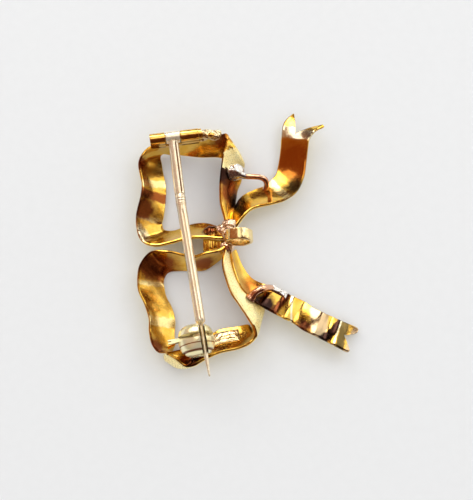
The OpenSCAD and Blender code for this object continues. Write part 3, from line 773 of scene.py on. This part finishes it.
LUMP = metal("knot_solder", (0.90, 0.72, 0.56), (0.85, 0.58, 0.38), (0.10, 0.34),
             scratch=0.5, dents=1.0, dent_scale=1.8, grain=0.8)

# The bow: two loops, closed through the knot, and two swallow-tailed ends
loop_step = 0.125
tail_step = 0.08
# Columns: name, ribbon, wave, seed, ripple
LOOPS = [
    ("upper_loop", upper_loop, 0.02, 3.1, (14.5, 19, 2.4, 0.07, 0.3)),
    ("lower_loop", lower_loop, 0.015, 7.7, (6, 15, 3.1, 0.04, 0.3)),
]
# Columns: name, ribbon, how far it goes past its last row, wave, seed, tips, notch
TAILS = [
    ("upper_tail", upper_end, 0.3, 0.02, 1.3, (0.14, -0.03), UPPER_NOTCH),
    ("lower_tail", lower_end, 0.0, 0.01, 5.9, (0.0, 0.08), LOWER_NOTCH),
]
for name, ribbon, wave, seed, ripple in LOOPS:
    loop = strip(name, ribbon, ribbon.last, loop_step, wave, seed, endless=True, ripple=ripple)
    on_bow(two_faced(loop, ribbon), YELLOW, FRONT)
for name, ribbon, past, wave, seed, tips, notch in TAILS:
    tail = strip(name, ribbon, ribbon.last + past, tail_step, wave, seed, tips=tips)
    tail = bevelled(swallowtail(tail, ribbon, notch), 0.05, angle=50)
    on_bow(two_faced(tail, ribbon), YELLOW, FRONT)


def corner_fold():
    """The fold that closes the lower loop's corner under the catch."""
    first, length, share, reach, sag = 15.4, 4, 0.2, 0.7, 0.25
    steps, across = 24, 8
    foot = np.array([CATCH[0] - ball_d / 4, CATCH[1], CATCH_SEAT_Z - ribbon_t])
    points = []
    for k in range(steps + 1):
        outer = lower_loop.point(first + length * k / steps, share)
        inner = outer + reach * (foot - outer)
        under = [outer + (inner - outer) * v / across for v in range(across + 1)]
        sags = [sag * math.sin(math.pi * v / across) for v in range(across + 1)]
        points += [p + np.array([0, 0, ribbon_t - drop]) for p, drop in zip(under, sags)]
        points += under[::-1]
    return outward(mesh_object("corner_fold", points, tube_faces(steps + 1, 2 * across + 2)))


def knot_wrap():
    """The wrap round the knot, drawn in at both ends."""
    girths = np.array([[-1, 0.72], [-0.8, 0.9], [-0.4, 1], [0, 0.94], [0.4, 1], [0.8, 0.9], [1, 0.72]])
    middle = np.array([-0.47, -0.16, 0.4])
    rows, sides = 48, 64
    squareness, height = 0.65, 0.38
    points = []
    for k in range(rows + 1):
        share, girth = smooth(girths, (len(girths) - 1) * k / rows)
        crease = 1 - 0.03 * math.cos(5 * math.pi * share)
        for i in range(sides):
            a = -2 * math.pi * i / sides
            y, z = [math.copysign(abs(v) ** squareness, v) for v in (math.cos(a), math.sin(a))]
            section = np.array([share / 2, girth * y / 2 * crease, girth * z * height * crease])
            points.append((middle + section) * knot_size)
    return outward(mesh_object("knot_wrap", points, tube_faces(rows + 1, sides)))


on_bow(corner_fold(), YELLOW)
on_bow(rough(knot_wrap(), 0.05, 0.9, 2.0), YELLOW)

# Solder on the knot. Columns: place as shares of the knot's size, and size as a share of the blob's
KNOT_LUMPS = [
    (-0.02, 0.27, 0.86, 0.80), (-0.06, -0.04, 0.92, 0.85),
    (-0.10, -0.42, 0.74, 0.80), (-0.30, 0.12, 0.80, 0.70),
]
lumps = []
for k, (*place, size) in enumerate(KNOT_LUMPS):
    lumps.append(ball_of("lump", np.array(place) * knot_size, size * blob_d * np.array([1, 1, 0.8]), seed=k))
on_bow(soldered(lumps, "knot_solder", 0.07, 0.12, 1.3, 4.0), LUMP, angle=60)

# Solder blob on the upper loop, with the strut that runs from it to the upper ribbon end
blob_at = upper_loop.point(4.3, -0.15, -ribbon_t) + np.array([-0.3, -0.15, 0])
strut_to = upper_end.point(3.95, -0.62, ribbon_t / 2)
# Shares of the way from one end to the other in x, y and z. Both struts look thicker than the source's wire
ways = np.array([[0, 0, 0], [0.32, 0.31, -0.1], [0.8, 0.38, -0.1],
                 [1.0, 0.55, 0.1], [1.04, 0.8, 0.5], [1, 1, 1]])
strut_path = [blob_at + w * (strut_to - blob_at) for w in ways]
on_bow(rough(wire("upper_strut", strut_path, 1.4 * strut_d), 0.03, 1.5, 1.0), STRUT, angle=60)
blob = ball_of("upper_blob", blob_at, blob_d * np.array([1.15, 1.05, 0.9]), seed=0.7)
neck = wire("neck", strut_path[:3], strut_d, flare=0.8, taper=1.3)
on_bow(soldered([blob, neck], "upper_blob", 0.06, 0.06, 0.9, 6.0), SILVER, angle=60)

# The strut from the lower loop to the lower ribbon end, and solder at its end and under the catch
strut_from = lower_loop.point(28, 0, -ribbon_t / 2)
strut_to = lower_end.point(3.8, -0.7, ribbon_t / 2)
ways = np.array([[0, 0, 0], [0.27, 0.44, -0.3], [0.55, 0.68, -0.3], [0.78, 0.85, 0.2], [1, 1, 1]])
strut_path = [strut_from + w * (strut_to - strut_from) for w in ways]
on_bow(rough(wire("lower_strut", strut_path, 1.9 * strut_d, flare=0.2), 0.03, 1.5, 3.0), STRUT, angle=60)
on_bow(patch("end_solder", lower_end, 3.6, 5.4, -1.0, -0.5, 8.0), SILVER, angle=60)
on_bow(patch("catch_solder", lower_loop, 21.4, 23.2, -0.75, 0.3, 5.0), SOLDER, angle=60)

# Bail ring beside the knot
bail_way = np.array([0, 1, 0])
bail_profile = rounded_profile(-bail_l / 2, bail_l / 2, bail_bore / 2 + bail_wall, 0.14, 5)
ring = turned("bail_ring", BAIL, bail_way, bail_profile, 96)
cut(ring, cylinder(BAIL, bail_way, bail_bore / 2, 3 * bail_l, 96))
on_bow(rough(bevelled(ring, 0.06, 3, 50), 0.05, 1.4, 9.0), BAIL_GOLD)

# Hinge: plate and two knuckles, each on its foot
left_end = -head_l / 2 - hinge_gap - left_knuckle_l
right_end = head_l / 2 + hinge_gap + right_knuckle_l
foot_y = knuckle_d * hinge_base_share / 2
foot_in = 0.02
plate_low = -knuckle_d / 2 - hinge_base_t - hinge_sink
plate_high = -knuckle_d / 2 - hinge_gap
# Longer than the whole hinge
rivet_cut_l = 40
plate_corners = (left_end, -foot_y, plate_low), (right_end, foot_y, plate_high)
on_bow(bevelled(block("hinge_plate", HINGE, STEM_TURN, *plate_corners), 0.06, 3), KNUCKLE)
for name, a, b in (("left", left_end, -head_l / 2 - hinge_gap), ("right", head_l / 2 + hinge_gap, right_end)):
    tube = turned(name + "_knuckle", HINGE, hinge_axis, rounded_profile(a, b, knuckle_d / 2, 0.07))
    foot_low, foot_high = (a + foot_in, -foot_y, plate_low), (b - foot_in, foot_y, -knuckle_d / 4)
    cut(tube, block("foot", HINGE, STEM_TURN, foot_low, foot_high), "UNION")
    cut(tube, cylinder(HINGE, hinge_axis, rivet_d / 2 + rivet_seat, rivet_cut_l, 48))
    on_bow(bevelled(tube, 0.03, angle=40), KNUCKLE)

# Solder beside the hinge. Columns: place from the hinge's middle, size
HINGE_LUMPS = [
    (4.2, 0.1, -0.8, 1.8, 1.3, 1.4), (5.2, 0.0, -1.0, 1.9, 1.4, 1.2), (3.7, 0.0, -1.1, 1.2, 1.2, 0.9),
]
lumps = []
for x, y, z, *size in HINGE_LUMPS:
    lumps.append(ball_of("lump", HINGE + turn_vector(STEM_TURN, x, y, z), np.array(size), seed=x))
on_bow(soldered(lumps, "hinge_solder", 0.05, 0.12, 2.0, 2.0), SOLDER, angle=60)
bead_at = HINGE + turn_vector(STEM_TURN, 4.75, -0.2, -0.3)
on_bow(ball_of("hinge_bead", bead_at, np.array([0.85, 0.7, 0.7]), 24, 14, seed=0.4), KNUCKLE, angle=60)


def ball_profile():
    """The ball along its bore, with fine grooves and rounded ends."""
    steps = 80
    # Columns: place along the bore, depth, half width
    grooves = [(1.45, 0.13, 0.09), (-0.45, 0.06, 0.06)]
    end_at, end_l, end_depth = 1.1, 0.7, 0.35
    bulge = ball_bulge * ball_d
    profile = []
    for k in range(steps + 1):
        y = -ball_l / 2 + ball_l * k / steps
        groove = sum(depth * math.exp(-((y - place) / width) ** 2) for place, depth, width in grooves)
        groove += end_depth * max(0.0, (abs(y) - end_at) / end_l) ** 2.5
        profile.append((y, ball_d * (0.5 - ball_bulge) + math.sqrt(bulge * bulge - y * y) - groove))
    return profile


# Catch: ball with bore, mouth and lever slot, on its post
ball = turned("catch_ball", ball_middle, shaft_way, ball_profile(), 96)
cut(ball, cylinder(CATCH, shaft_way, ball_bore / 2, 3 * ball_l, 64))
cut(ball, block("cutter", CATCH, CATCH_TURN, (-rotor_bore / 2, -ball_l, 0), (rotor_bore / 2, ball_l, ball_d)))
slot_low = (-2 * ball_d, slot_set - lever_slot / 2, -slot_drop)
slot_high = (2 * ball_d, slot_set + lever_slot / 2, ball_d)
cut(ball, block("cutter", CATCH, CATCH_TURN, slot_low, slot_high))
on_bow(bevelled(ball, 0.07, 3, 40), PALE)
post_x, post_y, post_top = ball_d * 0.21, ball_l * 0.3, -ball_bore / 2 - 0.15
post_low = (-pin_offset - post_x, -post_y, CATCH_SEAT_Z - CATCH[2])
post_high = (-pin_offset + post_x, post_y, post_top)
on_bow(bevelled(block("catch_post", CATCH, CATCH_TURN, post_low, post_high), 0.12, 3), KNUCKLE)

# Pin: head, rolled sleeve with its banded joint, bend and shaft
upper_l = sleeve_l + joint_l
shoulder_at = LOWER_STEM_L - ball_l / 2 - shoulder_gap - shoulder_l
shank_at = shoulder_at + shoulder_l
taper_at = LOWER_STEM_L + stem_past - taper_l
bend = HINGE + upper_l * sleeve_way


def seam(turn, depth, half_width, first, last):
    """The groove of a rolled seam, as a radius for turned()."""
    def radius(along, a, r):
        gap = abs((a - math.radians(turn) + math.pi) % (2 * math.pi) - math.pi)
        return r - depth * math.exp(-(gap / half_width) ** 2) if first < along < last else r
    return radius


def sleeve_profile():
    """The sleeve from inside the head, a small step, and three fine bands on the joint."""
    start, steps = 0.62, 40
    step_l, step_in = 0.03, 0.03
    band_at, band_gap, band_half, band_rise = 0.36, 0.25, 0.1, 0.036
    profile = [(start + (sleeve_l - start) * k / steps, sleeve_d / 2) for k in range(steps + 1)]
    profile += [(sleeve_l + step_l, stem_d / 2 - step_in), (sleeve_l + 2 * step_l, stem_d / 2)]
    for k in range(3):
        middle = sleeve_l + joint_l * (band_at + band_gap * k)
        for s in np.linspace(-1, 1, 9):
            profile.append((middle + s * joint_l * band_half, stem_d / 2 + band_rise * (1 - s * s)))
    return profile + [(upper_l, stem_d / 2)]


def narrowed(start, length, first_r, last_r, power, steps):
    """A stretch of a profile whose radius goes from one size to another, or stays."""
    shares = [k / steps for k in range(1, steps + 1)]
    return [(start + length * share, first_r - (first_r - last_r) * share ** power) for share in shares]


def shaft_profile():
    """The shaft from its bend: stem, shoulder, shank, taper and blunt tip."""
    stem_r, shank_r, point_r, tip_r = stem_d / 2, shank_d / 2, point_d / 2, 0.05
    taper_share = 0.985
    profile = [(-0.25, stem_r - 0.02), (0, stem_r)]
    profile += narrowed(0, shoulder_at, stem_r, stem_r, 1, 40)
    profile += narrowed(shoulder_at, shoulder_l, stem_r, shank_r, 1.2, 8)
    profile += narrowed(shank_at, taper_at - shank_at, shank_r, shank_r, 1, 10)
    profile += narrowed(taper_at, taper_share * taper_l, shank_r, point_r, 1.15, 12)
    return profile + [(taper_at + taper_l, tip_r)]


head = turned("pin_head", HINGE, hinge_axis, rounded_profile(-head_l / 2, head_l / 2, knuckle_d / 2, 0.06))
cut(head, cylinder(HINGE, hinge_axis, rivet_d / 2 + rivet_clearance, 3 * head_l, 48))
on_pin(bevelled(head, 0.03, angle=50), angle=32)
sleeve_seam = seam(118, 0.20, 0.17, 0.9, sleeve_l - 0.05)
shaft_seam = seam(93, 0.18, 0.15, 1.0, shoulder_at - 0.3)
on_pin(turned("pin_sleeve", HINGE, sleeve_way, sleeve_profile(), 96, sleeve_seam))
on_pin(turned("pin_shaft", bend, shaft_way, shaft_profile(), 64, shaft_seam))
on_pin(ball_of("pin_bend", bend, stem_d * 1.04 * np.ones(3), uneven=0.0))

# The nodes that stay, with better materials
for node, material in (("hinge_rivet", KNUCKLE), ("catch_rotor", PALE)):
    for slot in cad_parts[node].material_slots:
        slot.material = material

# Floor, a hair under the brooch
floor_half = 0.6
floor_corners = [(-1, -1), (1, -1), (1, 1), (-1, 1)]
floor = mesh_object("floor", [(floor_half * x, floor_half * y, 0) for x, y in floor_corners], [(0, 1, 2, 3)])
floor.location.z = -0.02 * MM
paper = bpy.data.materials.new("paper")
paper.use_nodes = True
tree, links = paper.node_tree, paper.node_tree.links
shade = tree.nodes["Principled BSDF"]
shade.inputs["Roughness"].default_value = 0.55
coords = added(tree, "ShaderNodeTexCoord")
fibres = added(tree, "ShaderNodeTexNoise")
fibres.inputs["Scale"].default_value = 900
fibres.inputs["Detail"].default_value = 3
links.new(coords.outputs["Object"], fibres.inputs["Vector"])
tone = added(tree, "ShaderNodeMix", data_type="RGBA")
tone.inputs["A"].default_value = (0.77, 0.77, 0.77, 1)
tone.inputs["B"].default_value = (0.80, 0.80, 0.80, 1)
links.new(fibres.outputs["Fac"], tone.inputs["Factor"])
links.new(tone.outputs["Result"], shade.inputs["Base Color"])
floor.data.materials.append(paper)

# World: mirror-like surfaces see a dark room with soft lamps, and dull ones a white tent
LOBES = [
    # direction, half-angles where it ends and where it is full, brightness
    ((-0.08, 0.80, 0.59), 18, 8, 6.0),
    ((0.80, 0.50, 0.30), 28, 15, 1.5),
    ((0.94, 0.22, 0.12), 24, 14, 0.5),
    ((0.00, 0.25, 0.97), 20, 8, 1.6),
    ((0.45, 0.88, 0.15), 16, 8, 4.0),
    ((-0.60, 0.20, 0.77), 60, 25, 0.16),
]
# Colours of the room, of the lamps' dim and bright rims, of the lamps and of the tent
ROOM = (0.07, 0.018, 0.008)
DIM_RIM = (0.30, 0.09, 0.03)
BRIGHT_RIM = (0.75, 0.60, 0.30)
LAMP = (1.0, 0.97, 0.92)
TENT = (0.97, 0.975, 0.98)
dim_at, bright_at = 0.15, 0.4

scene = bpy.context.scene
world = bpy.data.worlds.new("studio")
scene.world = world
world.use_nodes = True
tree, links = world.node_tree, world.node_tree.links
coords = added(tree, "ShaderNodeTexCoord")
total = None
for way, wide, narrow, bright in LOBES:
    dot = added(tree, "ShaderNodeVectorMath", operation="DOT_PRODUCT")
    dot.inputs[1].default_value = Vector(way).normalized()
    links.new(coords.outputs["Generated"], dot.inputs[0])
    lobe = added(tree, "ShaderNodeMapRange", interpolation_type="SMOOTHSTEP")
    lobe.inputs["From Min"].default_value = math.cos(math.radians(wide))
    lobe.inputs["From Max"].default_value = math.cos(math.radians(narrow))
    lobe.inputs["To Max"].default_value = bright
    links.new(dot.outputs["Value"], lobe.inputs["Value"])
    if total is None:
        total = lobe.outputs["Result"]
    else:
        more = added(tree, "ShaderNodeMath", operation="MAXIMUM")
        links.new(total, more.inputs[0])
        links.new(lobe.outputs["Result"], more.inputs[1])
        total = more.outputs[0]
ramp = added(tree, "ShaderNodeValToRGB")
elements = ramp.color_ramp.elements
elements[0].color = (*ROOM, 1)
elements[1].color = (*LAMP, 1)
elements.new(dim_at).color = (*DIM_RIM, 1)
elements.new(bright_at).color = (*BRIGHT_RIM, 1)
links.new(total, ramp.inputs["Fac"])
over = added(tree, "ShaderNodeMath", operation="MAXIMUM")
over.inputs[1].default_value = 1.0
links.new(total, over.inputs[0])
mirrored = added(tree, "ShaderNodeVectorMath", operation="SCALE")
links.new(ramp.outputs["Color"], mirrored.inputs[0])
links.new(over.outputs[0], mirrored.inputs["Scale"])
path = added(tree, "ShaderNodeLightPath")
seen = added(tree, "ShaderNodeMix", data_type="RGBA")
seen.inputs["A"].default_value = (*TENT, 1)
links.new(path.outputs["Is Glossy Ray"], seen.inputs["Factor"])
links.new(mirrored.outputs["Vector"], seen.inputs["B"])
links.new(seen.outputs["Result"], tree.nodes["Background"].inputs["Color"])


def soft_light(name, place, size, power):
    """A rectangular lamp that points at the brooch, in metres and watts."""
    lamp = bpy.data.lights.new(name, "AREA")
    lamp.shape = "RECTANGLE"
    lamp.size, lamp.size_y = size
    lamp.energy = power
    obj = bpy.data.objects.new(name, lamp)
    bpy.context.collection.objects.link(obj)
    obj.location = place
    obj.rotation_euler = (-Vector(place)).to_track_quat("-Z", "Y").to_euler()


soft_light("key", (-0.16, 0.22, 0.20), (0.16, 0.12), 0.12)
soft_light("fill", (0.20, 0.14, 0.26), (0.14, 0.14), 0.12)

# Camera: it sees the photograph's width at its scale, and looks at the photograph's middle
PHOTO_W = 473
PIXELS_PER_MM = 8
half_view = MM * PHOTO_W / PIXELS_PER_MM / 2
distance = 0.2
elevation = math.radians(74)
target = Vector((np.array([0.8125, -1.2016, -0.3445]) - ORIGIN) * MM)
camera_data = bpy.data.cameras.new("camera")
camera_data.sensor_fit = "HORIZONTAL"
camera_data.sensor_width = 36
camera_data.lens = camera_data.sensor_width / 2 / (half_view / distance)
camera_data.clip_start = 0.005
camera_data.clip_end = 10
camera = bpy.data.objects.new("camera", camera_data)
bpy.context.collection.objects.link(camera)
camera.location = target + distance * Vector((0, -math.cos(elevation), math.sin(elevation)))
camera.rotation_euler = (target - camera.location).to_track_quat("-Z", "Y").to_euler()
scene.camera = camera
scene.view_settings.view_transform = "Standard"
